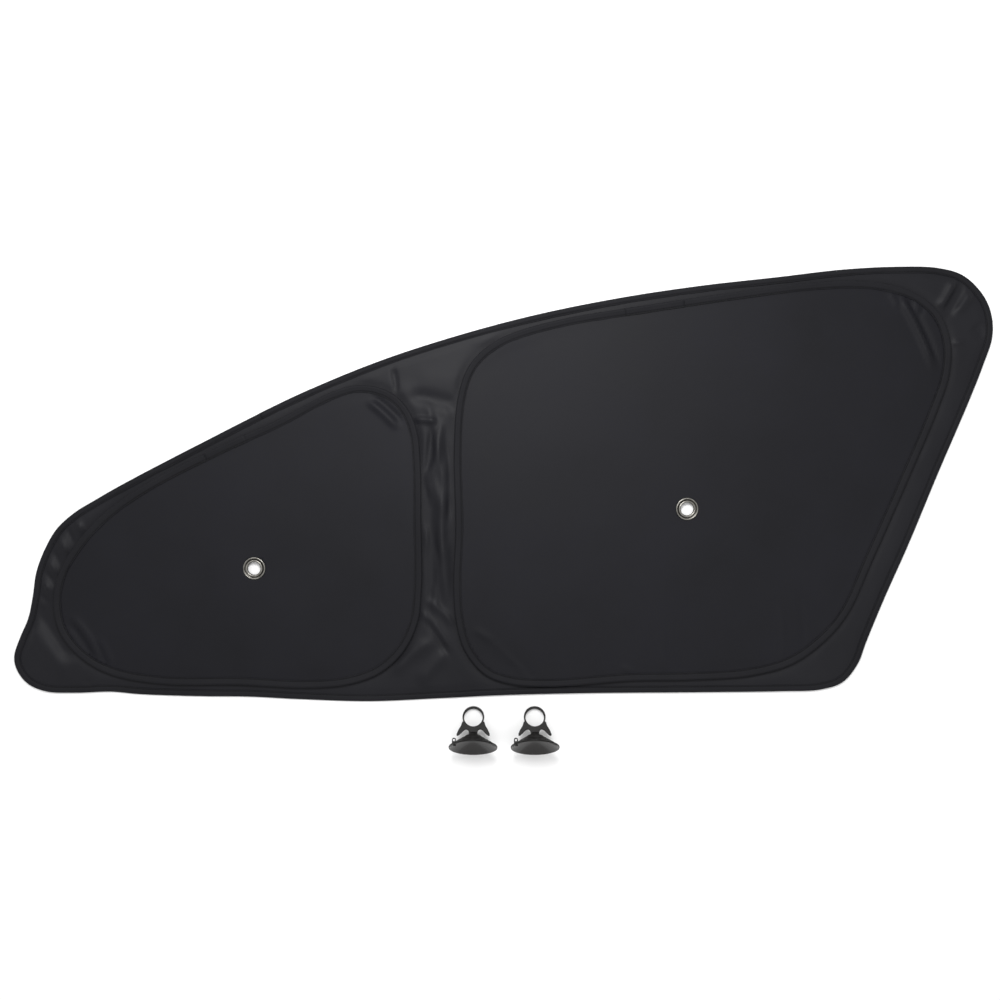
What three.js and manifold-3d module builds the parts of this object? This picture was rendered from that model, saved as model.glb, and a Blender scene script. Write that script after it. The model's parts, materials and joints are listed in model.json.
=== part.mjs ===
// Fold-up sunshade for a car side window, lying flat with its two suction cups beside it.
// Millimetres, +Z up, the shade's thickness along Z. The front of the car is towards -X.
// The origin is on the surface that it lies on, under the middle of the whole set.
import * as THREE from "three";
import { mergeVertices } from "three/addons/utils/BufferGeometryUtils.js";
import Module from "manifold-3d";

const wasm = await Module();
wasm.setup();

// Cloth, tape and the room that sewn layers keep between them
const clothThickness = 0.4;
const tapeThickness = 0.4;
const clearance = 0.3;

// Spring-steel hoops and the crimped sleeves that join their ends
const wireDiameter = 1.5;
const wireButtGap = 0.6;
const sleeveLength = 16;
const sleeveWall = 0.3;
const sleeveClearance = 0.2;

// Tape bindings, measured across the tape
const hoopBindingWidth = 7.5;
const edgeBindingWidth = 6.5;
const surroundTuck = 5;

// Eyelets: a barrel from the back, curled over a washer on the front
const eyeletBore = 12.8;
const eyeletDiameter = 22.3;
const eyeletWall = 0.5;
const washerRise = 0.8;
const curlWidth = 1.7;
const flangeDepth = 0.8;
const frontEyeletPlace = [-248.9, -84.1];
const rearEyeletPlace = [182.4, -24.9];

// Suction cups, one soft moulding each
const cupDiameter = 48;
const cupRimHeight = 1.2;
const cupBands = 5;
const cupBandRise = 2.6;
const cupKnobRadius = 4.6;
const cupHollowDepth = 10.5;
const cupLip = 0.8;
const handleThickness = 2.5;
const handleRingRadius = 10.8;
const handleRingHole = 9.4;
const handleRingHeight = 31.6;
const handleHoleDrop = 0.6;
const neckRoot = 11;
const wingTip = [16, 12.6];
const tabThickness = 1.5;
const tabWidth = 4;
const tabTop = 10.5;
const tabHole = 1.7;
const tabRadius = 18.8;
const cupRimLine = -270;
const cupPlaces = [-30.5, 30.5];

// Outer edge of the whole shade, seen from above, counter-clockwise from the low front corner
const shadeEdge = [
  [-489, -172], [-486.5, -185], [-476, -199], [-458, -207], [-428, -208.5], [-392, -207.5],
  [-364, -210], [-304, -212], [-254, -212.5], [-204, -215], [-134, -217], [-64, -214],
  [-4, -211], [76, -209], [196, -208], [276, -207], [316, -205.3], [338, -198],
  [353, -180], [362, -157], [380, -114], [404, -60], [434, 12], [464, 82],
  [479, 120], [487.5, 146], [487, 168], [479, 188], [459, 208], [434, 215.7],
  [391, 217], [336, 214], [276, 207], [196, 198], [116, 186], [36, 170],
  [-44, 149], [-124, 123], [-204, 90], [-304, 40], [-384, -2], [-410, -17],
  [-428, -28], [-446, -44], [-458, -64], [-467, -88], [-470.5, -112], [-475, -134],
  [-483, -153],
];

// Outer edge of the front hoop's binding, counter-clockwise from its low front end
const frontHoopEdge = [
  [-449.3, -116], [-444, -146], [-424, -172], [-394, -189.5], [-344, -199.3], [-264, -200.5],
  [-194, -203.5], [-154, -199.8], [-124, -189], [-101, -168.5], [-86.6, -140], [-82.2, -106],
  [-82.5, -36], [-83.2, 19], [-87, 54], [-97.4, 77], [-115.6, 92.7], [-144, 98.8],
  [-174, 91], [-224, 65], [-284, 37.5], [-357, 0], [-397, -28], [-424, -56],
  [-444, -89],
];

// Outer edge of the rear hoop's binding, counter-clockwise from the middle of its front side
const rearHoopEdge = [
  [-48.4, -46], [-50.4, -96], [-48.2, -135.5], [-39, -167], [-19, -190.5], [6, -199.8],
  [46, -202.4], [126, -196.6], [186, -195.6], [246, -191.3], [288, -179.3], [321, -155.5],
  [343, -129], [367.4, -75.5], [402.6, 4], [431, 71], [444, 110.4], [445, 142],
  [434, 170.5], [411, 190], [381, 199.8], [346, 202.7], [296, 199.7], [236, 192.2],
  [136, 177.3], [56, 164], [1, 147.5], [-24, 131], [-38, 112.5], [-46.5, 84],
  [-50, 34],
];

// Where each hoop's ends meet, as a share of the way round its outline
const frontJoint = 0.8;
const rearJoint = 0.76;

// Folds of the loose surround: from, to, half width and height of each ridge
const surroundFolds = [
  { from: [-66, 52], to: [-70, -110], width: 6, height: 4 },
  { from: [-58, 10], to: [-60, -150], width: 6, height: 3 },
  { from: [-78, -128], to: [-50, -172], width: 8, height: 3 },
  { from: [-88, 66], to: [-62, 62], width: 7, height: 3 },
  { from: [-74, 100], to: [-56, 84], width: 9, height: 3 },
  { from: [-110, -200], to: [-84, -180], width: 8, height: 2.5 },
  { from: [-438, -28], to: [-421, -50], width: 6, height: 3 },
  { from: [-452, -56], to: [-436, -68], width: 6, height: 3 },
  { from: [-462, -92], to: [-447, -96], width: 6, height: 2.5 },
  { from: [-468, -128], to: [-452, -124], width: 7, height: 2.5 },
  { from: [-470, -186], to: [-440, -192], width: 12, height: 4 },
  { from: [468, 200], to: [443, 172], width: 8, height: 3 },
  { from: [480, 154], to: [450, 138], width: 8, height: 3 },
];
const foldGrid = 8;
const flatGrid = 30;

// How finely the outlines are stepped
const chordError = 0.5;
const longestStep = 80;
const eyeletSides = 24;
const cupSides = 28;

// Levels above the surface
const surroundFloor = tapeThickness + clearance;
const surroundTop = surroundFloor + clothThickness;
const wireRadius = wireDiameter / 2;
const sleeveInner = wireRadius + sleeveClearance;
const sleeveOuter = sleeveInner + sleeveWall;
const channelInner = sleeveOuter + clearance;
const channelOuter = channelInner + tapeThickness;
const panelMiddle = surroundTop + clearance + channelOuter;

const material = (color, roughness, metalness) =>
  new THREE.MeshStandardMaterial({ color, roughness, metalness });
const tape = () => material(0x232326, 0.85, 0);

// A geometry as a solid that can be joined and cut, and back
function toSolid(geometry) {
  const bare = geometry.clone();
  bare.deleteAttribute("normal");
  bare.deleteAttribute("uv");
  const merged = mergeVertices(bare, 1e-4);
  return new wasm.Manifold(new wasm.Mesh({
    numProp: 3,
    vertProperties: merged.attributes.position.array,
    triVerts: new Uint32Array(merged.index.array),
  }));
}

function toGeometry(solid) {
  const mesh = solid.getMesh();
  return new THREE.BufferGeometry()
    .setAttribute("position", new THREE.BufferAttribute(mesh.vertProperties, 3))
    .setIndex(new THREE.BufferAttribute(mesh.triVerts, 1));
}

// Stations round a closed smooth outline, closer together where it bends.
// Each holds its place and the direction that points into the outline.
function outline(points) {
  const curve = new THREE.CatmullRomCurve3(
    points.map(([x, y]) => new THREE.Vector3(x, y, 0)), true, "centripetal");
  curve.arcLengthDivisions = 2000;
  const fine = 1200;
  const length = curve.getLength();
  const step = length / fine;
  const tangents = Array.from({ length: fine + 1 }, (_, i) => curve.getTangentAt(i / fine));
  const weights = [0];
  for (let i = 0; i < fine; i += 1) {
    const turn = tangents[i].angleTo(tangents[i + 1]);
    weights.push(weights[i] + Math.sqrt(turn * step / (8 * chordError)) + step / longestStep);
  }
  const count = Math.ceil(weights[fine]);
  const stations = [];
  for (let i = 0, k = 0; k < count; k += 1) {
    while (weights[i + 1] < weights[fine] * k / count) i += 1;
    stations.push(stationAt(curve, i / fine));
  }
  return { curve, length, stations };
}

function stationAt(curve, share) {
  const place = curve.getPointAt(share % 1);
  const along = curve.getTangentAt(share % 1);
  return { x: place.x, y: place.y, inX: -along.y, inY: along.x, share };
}

const inset = (station, distance) =>
  new THREE.Vector2(station.x + station.inX * distance, station.y + station.inY * distance);

// A closed section (distance in from the outline, height) carried along stations
function sweep(stations, section, closed) {
  const positions = [];
  for (const station of stations) {
    for (const [distance, height] of section) {
      const { x, y } = inset(station, distance);
      positions.push(x, y, height);
    }
  }
  const n = section.length;
  const rings = stations.length;
  const index = [];
  for (let i = 0; i < (closed ? rings : rings - 1); i += 1) {
    for (let j = 0; j < n; j += 1) {
      const a = i * n + j;
      const b = i * n + (j + 1) % n;
      const c = ((i + 1) % rings) * n + (j + 1) % n;
      const d = ((i + 1) % rings) * n + j;
      index.push(a, b, c, a, c, d);
    }
  }
  if (!closed) {
    const last = (rings - 1) * n;
    for (let j = 1; j < n - 1; j += 1) {
      index.push(0, j + 1, j, last, last + j, last + j + 1);
    }
  }
  return new THREE.BufferGeometry()
    .setAttribute("position", new THREE.Float32BufferAttribute(positions, 3))
    .setIndex(index);
}

function plate(outer, holes, bottom, thickness) {
  const shape = new THREE.Shape(outer);
  shape.holes = holes.map((hole) => new THREE.Path(hole));
  return new THREE.ExtrudeGeometry(shape, { depth: thickness, bevelEnabled: false })
    .translate(0, 0, bottom);
}

const circle = (x, y, radius, sides) => Array.from({ length: sides }, (_, i) => {
  const angle = 2 * Math.PI * i / sides;
  return new THREE.Vector2(x + radius * Math.cos(angle), y + radius * Math.sin(angle));
});

const shade = outline(shadeEdge);
const frontHoop = outline(frontHoopEdge);
const rearHoop = outline(rearHoopEdge);

// Tape folded round the edge of the surround and stitched flat
function edgeBinding() {
  const height = surroundTop + clearance + tapeThickness;
  const middle = height / 2;
  const inner = middle - tapeThickness;
  const section = [
    [edgeBindingWidth, 0], [edgeBindingWidth, tapeThickness], [middle, tapeThickness],
    [middle - inner, middle], [middle, height - tapeThickness],
    [edgeBindingWidth, height - tapeThickness], [edgeBindingWidth, height], [middle, height],
    [0.3 * middle, 1.7 * middle], [0, middle], [0.3 * middle, 0.3 * middle], [middle, 0],
  ];
  return sweep(shade.stations, section, true);
}

// Tape folded round the hoop wire, its two leaves stitched to the panel's edge
function hoopBinding(hoop) {
  const leafInner = clothThickness / 2 + clearance;
  const leafOuter = leafInner + tapeThickness;
  const section = [];
  const arc = (radius, leaf, steps, turn) => {
    const end = Math.asin(leaf / radius);
    for (let i = 0; i <= steps; i += 1) {
      const angle = turn * (end + 2 * (Math.PI - end) * i / steps);
      section.push([channelOuter + radius * Math.cos(angle), panelMiddle + radius * Math.sin(angle)]);
    }
  };
  section.push([hoopBindingWidth, panelMiddle - leafOuter]);
  section.push([hoopBindingWidth, panelMiddle - leafInner]);
  arc(channelInner, leafInner, 6, -1);
  section.push([hoopBindingWidth, panelMiddle + leafInner]);
  section.push([hoopBindingWidth, panelMiddle + leafOuter]);
  arc(channelOuter, leafOuter, 6, 1);
  return sweep(hoop.stations, section, true);
}

// Round spring wire whose two ends butt together inside the sleeve
function hoopWire(hoop, joint) {
  const half = wireButtGap / 2 / hoop.length;
  const start = stationAt(hoop.curve, joint + half);
  const end = stationAt(hoop.curve, joint - half + 1);
  const after = hoop.stations.filter(({ share }) => share > joint + 2 * half);
  const before = hoop.stations.filter(({ share }) => share < joint - 2 * half);
  const section = circle(channelOuter, panelMiddle, wireRadius, 8).map(({ x, y }) => [x, y]);
  return sweep([start, ...after, ...before, end], section, false);
}

function sleeve(hoop, joint) {
  const profile = [
    [sleeveInner, -sleeveLength / 2], [sleeveOuter, -sleeveLength / 2],
    [sleeveOuter, sleeveLength / 2], [sleeveInner, sleeveLength / 2],
    [sleeveInner, -sleeveLength / 2],
  ];
  const station = stationAt(hoop.curve, joint);
  const place = inset(station, channelOuter);
  return new THREE.LatheGeometry(profile.map(([r, z]) => new THREE.Vector2(r, z)), 14)
    .rotateZ(Math.atan2(-station.inX, station.inY) - Math.PI / 2)
    .translate(place.x, place.y, panelMiddle);
}

// Taut panel cloth with a round hole for its eyelet
function panelSheet(hoop, [x, y]) {
  const edge = 2 * channelOuter - tapeThickness;
  const hole = circle(x, y, eyeletBore / 2 + eyeletWall + clearance, eyeletSides);
  const outer = hoop.stations.map((station) => inset(station, edge));
  return plate(outer, [hole], panelMiddle - clothThickness / 2, clothThickness);
}

const lathe = (profile, sides) =>
  new THREE.LatheGeometry(profile.map(([r, z]) => new THREE.Vector2(r, z)), sides)
    .rotateX(Math.PI / 2);

// Washer that bears on the front of the panel, with a raised outer bead
function eyeletWasher([x, y]) {
  const bore = eyeletBore / 2 + eyeletWall + clearance;
  const rim = eyeletDiameter / 2;
  const seat = clothThickness / 2 + clearance;
  const profile = [
    [bore, seat], [rim, seat], [rim, seat + eyeletWall], [rim - 0.5, seat + washerRise + 0.4],
    [rim - 1.1, seat + washerRise + eyeletWall], [rim - 1.7, seat + washerRise + 0.2],
    [rim - 2.1, seat + eyeletWall], [bore, seat + eyeletWall], [bore, seat],
  ];
  return lathe(profile, eyeletSides).translate(x, y, panelMiddle);
}

// Barrel that passes through the panel from the back and curls over the washer
function eyeletBarrel([x, y]) {
  const bore = eyeletBore / 2;
  const tube = bore + eyeletWall;
  const rim = eyeletDiameter / 2;
  const back = -clothThickness / 2 - clearance;
  const lip = clothThickness / 2 + 2 * clearance + eyeletWall;
  const profile = [
    [bore, back - flangeDepth + 0.3], [bore + 0.4, back - flangeDepth], [rim - 0.4, back - flangeDepth],
    [rim, back - 0.3], [rim, back], [tube, back], [tube, lip], [tube + curlWidth - 0.3, lip],
    [tube + curlWidth, lip + 0.35], [tube + curlWidth - 0.4, lip + 0.8],
    [tube + 0.5, lip + 1], [tube - 0.1, lip + 0.75], [bore, lip + 0.1],
    [bore, back - flangeDepth + 0.3],
  ];
  return lathe(profile, eyeletSides).translate(x, y, panelMiddle);
}

// Distance from a point to the nearest stretch of a closed outline
function distanceTo(stations, x, y) {
  let best = Infinity;
  stations.forEach((a, i) => {
    const b = stations[(i + 1) % stations.length];
    const dx = b.x - a.x;
    const dy = b.y - a.y;
    const t = THREE.MathUtils.clamp(((x - a.x) * dx + (y - a.y) * dy) / (dx * dx + dy * dy), 0, 1);
    best = Math.min(best, Math.hypot(x - a.x - t * dx, y - a.y - t * dy));
  });
  return best;
}

// Height of the loose cloth over its sewn level: it is flat at both bindings
function foldHeight(x, y) {
  const edge = distanceTo(shade.stations, x, y);
  const hoops = Math.min(distanceTo(frontHoop.stations, x, y), distanceTo(rearHoop.stations, x, y));
  const clear = 1.1 * foldGrid;
  const free = THREE.MathUtils.smoothstep(edge, edgeBindingWidth + clear, edgeBindingWidth + clear + foldGrid)
    * THREE.MathUtils.smoothstep(hoops, clear, clear + foldGrid);
  let height = 0;
  for (const { from, to, width, height: rise } of surroundFolds) {
    const dx = to[0] - from[0];
    const dy = to[1] - from[1];
    const span = dx * dx + dy * dy;
    const t = THREE.MathUtils.clamp(((x - from[0]) * dx + (y - from[1]) * dy) / span, 0, 1);
    const off = Math.hypot(x - from[0] - t * dx, y - from[1] - t * dy);
    height = Math.max(height, rise * Math.exp(-((off / width) ** 2)));
  }
  return height * free;
}

// Grid lines along one axis, close together where there are folds
function gridLines(low, high, axis) {
  const lines = [low];
  while (lines.at(-1) < high) {
    const at = lines.at(-1);
    const folded = surroundFolds.some(({ from, to, width }) =>
      at + flatGrid > Math.min(from[axis], to[axis]) - 2.5 * width
      && at < Math.max(from[axis], to[axis]) + 2.5 * width);
    lines.push(at + (folded ? foldGrid : flatGrid));
  }
  return lines;
}

// A thin rippled slab that covers the shade, before it is cut to its outline
function foldedSlab() {
  const box = new THREE.Box2().setFromPoints(shade.stations.map(({ x, y }) => new THREE.Vector2(x, y)));
  box.expandByScalar(foldGrid);
  const xs = gridLines(box.min.x, box.max.x, 0);
  const ys = gridLines(box.min.y, box.max.y, 1);
  const columns = xs.length - 1;
  const rows = ys.length - 1;
  const slab = new THREE.BoxGeometry(columns, rows, clothThickness, columns, rows, 1);
  const position = slab.attributes.position;
  for (let i = 0; i < position.count; i += 1) {
    const x = xs[Math.round(position.getX(i) + columns / 2)];
    const y = ys[Math.round(position.getY(i) + rows / 2)];
    const level = surroundFloor + clothThickness / 2 + foldHeight(x, y);
    position.setXYZ(i, x, y, position.getZ(i) + level);
  }
  return slab;
}

// Loose cloth between the two hoops and the outer edge, tucked under both hoop bindings
function surroundSheet() {
  const edge = 2 * tapeThickness + clearance;
  const outer = shade.stations.map((station) => inset(station, edge));
  const holes = [frontHoop, rearHoop].map((hoop) =>
    hoop.stations.map((station) => inset(station, surroundTuck)));
  const tallest = Math.max(...surroundFolds.map(({ height }) => height)) + 1;
  const cutter = plate(outer, holes, surroundFloor - 1, clothThickness + tallest + 1);
  return toGeometry(toSolid(foldedSlab()).intersect(toSolid(cutter)));
}

// Flat handle of a cup: neck, two swept-back wings and a finger ring. The lower edge keeps its
// height over the cone, and the upper edge of each wing runs up into the ring and goes with it.
function cupHandle() {
  const [tipX, tipZ] = wingTip;
  const lowerEdge = [
    [4.2, neckRoot], [4.2, 15.6], [4.9, 18], [7, 19.2], [9.2, 18.1], [12.2, 14.9],
    [tipX - 1.4, tipZ + 0.3], wingTip, [tipX + 0.5, tipZ + 1.3],
  ];
  const upperEdge = [
    [handleRingRadius + 3.8, handleRingHeight - 13.2], [handleRingRadius + 1.4, handleRingHeight - 9.2],
    [handleRingRadius + 0.2, handleRingHeight - 5.4],
  ];
  const side = [...lowerEdge, ...upperEdge];
  const ring = [0, 1, 2, 3, 4].map((i) => {
    const angle = (i + 0.5) * Math.PI / 10;
    return [handleRingRadius * Math.cos(angle), handleRingHeight + handleRingRadius * Math.sin(angle)];
  });
  const right = [...side, ...ring];
  const left = right.map(([x, z]) => [-x, z]).reverse();
  const outer = [...right, [0, handleRingHeight + handleRingRadius], ...left];
  return plate(outer.map(([x, z]) => new THREE.Vector2(x, z)),
    [circle(0, handleRingHeight - handleHoleDrop, handleRingHole, 20)],
    -handleThickness / 2, handleThickness)
    .rotateX(Math.PI / 2);
}

// Small pull tab that stands on the rim
function cupTab() {
  const half = tabWidth / 2;
  const arch = circle(-tabRadius, tabTop - half, half, 16).slice(0, 9);
  const outer = [new THREE.Vector2(-tabRadius - half, 2), new THREE.Vector2(-tabRadius + half, 2), ...arch];
  const hole = circle(-tabRadius, tabTop - half - 0.4, tabHole, 12);
  return plate(outer, [hole], -tabThickness / 2, tabThickness).rotateX(Math.PI / 2);
}

// Stepped cone with a smooth hollow underneath
function cupBell() {
  const radius = cupDiameter / 2;
  const bandWidth = (radius - cupKnobRadius) / cupBands;
  const profile = [[0, cupHollowDepth]];
  for (const share of [0.25, 0.5, 0.75, 0.92]) {
    profile.push([share * (radius - cupLip), cupHollowDepth * (1 - share ** 1.6)]);
  }
  profile.push([radius - cupLip, 0], [radius, 0.3]);
  for (let i = 0; i < cupBands; i += 1) {
    const low = cupRimHeight + i * cupBandRise;
    profile.push([radius - i * bandWidth, low]);
    profile.push([radius - (i + 1) * bandWidth + 0.2, low + 0.7 * cupBandRise]);
  }
  const top = cupRimHeight + cupBands * cupBandRise;
  profile.push([cupKnobRadius, top], [0.6 * cupKnobRadius, top + 1], [0, top + 1.3]);
  return lathe(profile, cupSides);
}

// One cup, upright on its rim
function suctionCup() {
  const whole = toSolid(cupBell()).add(toSolid(cupHandle())).add(toSolid(cupTab()));
  return toGeometry(whole);
}

// How far a cup leans past its side, so that its rim and the end of its ring touch the surface
const cupTilt = Math.atan2(
  cupDiameter / 2 - handleThickness / 2, handleRingHeight + handleRingRadius - cupRimHeight);

const set = new THREE.Group();

function piece(name, geometry, finish) {
  const mesh = new THREE.Mesh(geometry, finish);
  mesh.name = name;
  set.add(mesh);
  return mesh;
}

piece("surround_sheet", surroundSheet(), material(0x2a2a2d, 0.7, 0));
piece("outer_edge_binding", edgeBinding(), tape());

const panels = [
  { name: "front", hoop: frontHoop, joint: frontJoint, eyelet: frontEyeletPlace },
  { name: "rear", hoop: rearHoop, joint: rearJoint, eyelet: rearEyeletPlace },
];
for (const { name, hoop, joint, eyelet } of panels) {
  piece(`${name}_panel_sheet`, panelSheet(hoop, eyelet), material(0x2d2d31, 0.6, 0));
  piece(`${name}_hoop_binding`, hoopBinding(hoop), tape());
  piece(`${name}_hoop_wire`, hoopWire(hoop, joint), material(0x8a8d90, 0.35, 1));
  piece(`${name}_hoop_sleeve`, sleeve(hoop, joint), material(0x9a9c9e, 0.4, 1));
  piece(`${name}_eyelet_washer`, eyeletWasher(eyelet), material(0xb7b2a8, 0.3, 1));
  piece(`${name}_eyelet_barrel`, eyeletBarrel(eyelet), material(0xb7b2a8, 0.3, 1));
}

cupPlaces.forEach((x, i) => {
  const cup = piece(`suction_cup_${i + 1}`, suctionCup(), material(0x1c1b1b, 0.45, 0));
  cup.rotation.x = -Math.PI / 2 - cupTilt;
  const rim = new THREE.Vector3(0, cupDiameter / 2, cupRimHeight).applyEuler(cup.rotation);
  cup.position.set(x, cupRimLine - rim.y, -rim.z);
});

const sunshade = new THREE.Group();
sunshade.add(set);
set.updateMatrixWorld(true);
const extent = new THREE.Box3().setFromObject(set, true);
const centre = extent.getCenter(new THREE.Vector3());
set.position.set(-centre.x, -centre.y, -extent.min.z);

export default sunshade;
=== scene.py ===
"""Fold-up sunshade for a car side window, lying flat with its two suction cups beside it.
Cloth, tape, stitches, eyelets and cups stand for the CAD solids in full detail."""
import json
import math

import bmesh
import bpy
import numpy as np
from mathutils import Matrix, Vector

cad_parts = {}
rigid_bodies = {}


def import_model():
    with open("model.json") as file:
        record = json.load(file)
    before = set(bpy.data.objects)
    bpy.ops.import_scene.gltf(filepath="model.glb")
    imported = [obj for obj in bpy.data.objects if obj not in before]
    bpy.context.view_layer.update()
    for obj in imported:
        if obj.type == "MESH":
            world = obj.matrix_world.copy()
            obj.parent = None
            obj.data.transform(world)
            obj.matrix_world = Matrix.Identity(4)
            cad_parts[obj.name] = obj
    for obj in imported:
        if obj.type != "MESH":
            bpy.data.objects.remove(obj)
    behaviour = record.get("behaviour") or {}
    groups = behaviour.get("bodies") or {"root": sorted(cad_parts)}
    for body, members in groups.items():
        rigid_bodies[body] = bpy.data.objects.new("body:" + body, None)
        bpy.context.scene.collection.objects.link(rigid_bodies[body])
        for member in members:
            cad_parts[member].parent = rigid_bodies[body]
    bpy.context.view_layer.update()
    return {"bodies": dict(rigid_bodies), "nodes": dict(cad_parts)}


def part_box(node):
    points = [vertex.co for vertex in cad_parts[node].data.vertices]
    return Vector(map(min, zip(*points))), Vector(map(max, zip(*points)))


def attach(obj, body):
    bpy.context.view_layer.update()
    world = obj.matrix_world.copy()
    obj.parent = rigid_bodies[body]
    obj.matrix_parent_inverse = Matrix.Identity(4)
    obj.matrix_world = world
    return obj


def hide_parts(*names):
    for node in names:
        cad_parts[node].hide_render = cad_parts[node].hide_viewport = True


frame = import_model()
body = next(iter(frame["bodies"]))
MM = 0.001
rng = np.random.default_rng(7)

# Outer edge of the whole shade in millimetres, counter-clockwise from the low front corner
SHADE_EDGE = [
    (-489, -172), (-486.5, -185), (-476, -199), (-458, -207), (-428, -208.5), (-392, -207.5),
    (-364, -210), (-304, -212), (-254, -212.5), (-204, -215), (-134, -217), (-64, -214),
    (-4, -211), (76, -209), (196, -208), (276, -207), (316, -205.3), (338, -198),
    (353, -180), (362, -157), (380, -114), (404, -60), (434, 12), (464, 82),
    (479, 120), (487.5, 146), (487, 168), (479, 188), (459, 208), (434, 215.7),
    (391, 217), (336, 214), (276, 207), (196, 198), (116, 186), (36, 170),
    (-44, 149), (-124, 123), (-204, 90), (-304, 40), (-384, -2), (-410, -17),
    (-428, -28), (-446, -44), (-458, -64), (-467, -88), (-470.5, -112), (-475, -134),
    (-483, -153),
]
# Outer edge of the front hoop's binding
FRONT_HOOP_EDGE = [
    (-449.3, -116), (-444, -146), (-424, -172), (-394, -189.5), (-344, -199.3), (-264, -200.5),
    (-194, -203.5), (-154, -199.8), (-124, -189), (-101, -168.5), (-86.6, -140), (-82.2, -106),
    (-82.5, -36), (-83.2, 19), (-87, 54), (-97.4, 77), (-115.6, 92.7), (-144, 98.8),
    (-174, 91), (-224, 65), (-284, 37.5), (-357, 0), (-397, -28), (-424, -56),
    (-444, -89),
]
# Outer edge of the rear hoop's binding
REAR_HOOP_EDGE = [
    (-48.4, -46), (-50.4, -96), (-48.2, -135.5), (-39, -167), (-19, -190.5), (6, -199.8),
    (46, -202.4), (126, -196.6), (186, -195.6), (246, -191.3), (288, -179.3), (321, -155.5),
    (343, -129), (367.4, -75.5), (402.6, 4), (431, 71), (444, 110.4), (445, 142),
    (434, 170.5), (411, 190), (381, 199.8), (346, 202.7), (296, 199.7), (236, 192.2),
    (136, 177.3), (56, 164), (1, 147.5), (-24, 131), (-38, 112.5), (-46.5, 84),
    (-50, 34),
]

# Widths and thicknesses in millimetres
HOOP_BINDING_WIDTH = 7.6
HOOP_STITCH = 6.4
EDGE_BINDING_WIDTH = 6.6
EDGE_STITCH = 5.4
TAPE = 0.4
CLOTH = 0.25
STITCH_PITCH = 3.1
STITCH_LENGTH = 2.4
THREAD_RADIUS = 0.22
SURROUND_TUCK = 5.0
PANEL_TUCK = 3.6
# Half widths of the groove that a seam pulls into the tape, at its bottom and at its shoulders
GROOVE_BOTTOM, GROOVE_SHOULDER = 0.25, 0.6
# How far each hoop's stitches lie above and below the panel's middle
SEAM_RISE = 0.62
# The second seam of a hoop: further in than the first, higher, and of thicker thread
SECOND_SEAM_OFFSET, SECOND_SEAM_RISE, SECOND_SEAM_GIRTH = 0.9, 1.0, 1.8
# How unevenly the stitches are sewn: along the seam as a share of the pitch, and across it
UNEVEN_ALONG, UNEVEN_ACROSS = 0.1, 0.12
# How far ahead a seam's direction is read
LOOK_AHEAD = 0.5
# Spacing of the outlines' stations and of the cloth's grids
STATION_SPACING, SURROUND_GRID, PANEL_GRID = 3.0, 2.2, 2.4
# The cut in a panel under its eyelet
EYELET_CUT_RADIUS, EYELET_CUT_SIDES = 8.2, 48

# A stitch: places along it as a share of its length, with the share of its girth there
STITCH_SHAPE = ((0.0, 0.35), (0.2, 1.0), (0.8, 1.0), (1.0, 0.35))
STITCH_SIDES = 5
# A crease's fading at its start and end, and its bow, as shares of its length
CREASE_FADE_IN, CREASE_FADE_OUT, CREASE_BOW = (-0.15, 0.2), (0.8, 1.15), 0.12
# Places worked out between two points of an outline
CURVE_STEPS = 24
# Cells of the noise's table each way, before it repeats
NOISE_CELLS = 64
# Sides of a turned or round piece
ROUND_SIDES = 96


# Plain helpers

def linear(hexcode):
    """An sRGB hex colour as linear RGBA."""
    values = [int(hexcode[i:i + 2], 16) / 255 for i in (1, 3, 5)]
    return tuple(v / 12.92 if v <= 0.04045 else ((v + 0.055) / 1.055) ** 2.4 for v in values) + (1.0,)


def smoothstep(value, low, high):
    t = np.clip((value - low) / (high - low), 0, 1)
    return t * t * (3 - 2 * t)


def smooth_loop(points, spacing):
    """Evenly spaced places and inward directions on a closed centripetal Catmull-Rom curve."""
    p = np.array(points, float)
    places = []
    for i in range(len(p)):
        p0, p1, p2, p3 = p[i - 1], p[i], p[(i + 1) % len(p)], p[(i + 2) % len(p)]
        t1 = math.sqrt(np.linalg.norm(p1 - p0))
        t2 = t1 + math.sqrt(np.linalg.norm(p2 - p1))
        t3 = t2 + math.sqrt(np.linalg.norm(p3 - p2))
        t = np.linspace(t1, t2, CURVE_STEPS, endpoint=False)[:, None]
        a1 = p0 * (t1 - t) / t1 + p1 * t / t1
        a2 = p1 * (t2 - t) / (t2 - t1) + p2 * (t - t1) / (t2 - t1)
        a3 = p2 * (t3 - t) / (t3 - t2) + p3 * (t - t2) / (t3 - t2)
        b1 = a1 * (t2 - t) / t2 + a2 * t / t2
        b2 = a2 * (t3 - t) / (t3 - t1) + a3 * (t - t1) / (t3 - t1)
        places.append(b1 * (t2 - t) / (t2 - t1) + b2 * (t - t1) / (t2 - t1))
    fine = np.vstack(places)
    closed = np.vstack([fine, fine[:1]])
    along = np.concatenate([[0], np.cumsum(np.linalg.norm(np.diff(closed, axis=0), axis=1))])
    count = round(along[-1] / spacing)
    share = np.linspace(0, along[-1], count, endpoint=False)
    even = np.column_stack([np.interp(share, along, closed[:, k]) for k in (0, 1)])
    tangent = np.roll(even, -1, axis=0) - np.roll(even, 1, axis=0)
    tangent /= np.linalg.norm(tangent, axis=1)[:, None]
    inward = np.column_stack([-tangent[:, 1], tangent[:, 0]])
    return {"at": even, "in": inward, "s": share, "length": along[-1]}


def inset(loop, distance):
    """The loop's stations moved inwards, by one distance or by one for each."""
    return loop["at"] + loop["in"] * np.reshape(distance, (-1, 1))


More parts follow.
